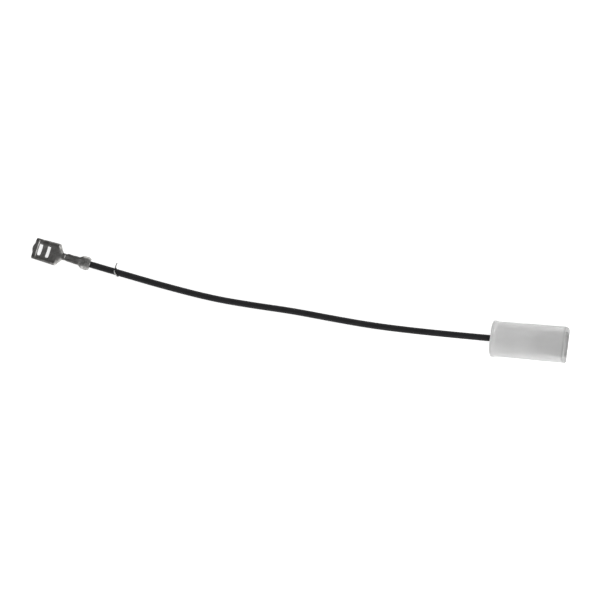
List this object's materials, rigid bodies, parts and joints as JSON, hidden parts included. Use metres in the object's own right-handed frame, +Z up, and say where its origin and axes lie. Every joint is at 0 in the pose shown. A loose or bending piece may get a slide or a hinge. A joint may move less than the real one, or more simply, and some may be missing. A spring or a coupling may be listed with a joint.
{
  "type": "flame sensor lead",
  "caption": "Single-core flame sensor lead: a female receptacle crimped on each end, one bare and one in a sliding insulating sleeve.",
  "frame": {"origin": "middle of the lead's length and width, on the surface that it lies on", "axes": "+X along the sleeve's axis, out of its mouth; +Z up, away from the surface; +Y across"},
  "size_m": [0.2034, 0.0296, 0.0072],
  "materials": {
    "tinned_brass": "tin-plated, dull bright",
    "tinned_copper": "tinned",
    "black_jacket": "smooth, slightly shiny",
    "milky_plastic": "translucent, milky",
    "steel_wire": "galvanised"
  },
  "bodies": {
    "lead": {"bare_receptacle": "tinned_brass", "insulated_receptacle": "tinned_brass", "bare_end_strands": "tinned_copper", "insulated_end_strands": "tinned_copper", "wire_jacket": "black_jacket", "conductor_core": "tinned_copper", "tie_wire": "steel_wire"},
    "sleeve": {"insulating_sleeve": "milky_plastic"}
  },
  "joints": [
    {"name": "sleeve_slide", "type": "slide", "parent": "lead", "child": "sleeve", "axis": [-1, 0, 0], "range_m": [-0.0019, 0.026]}
  ]
}
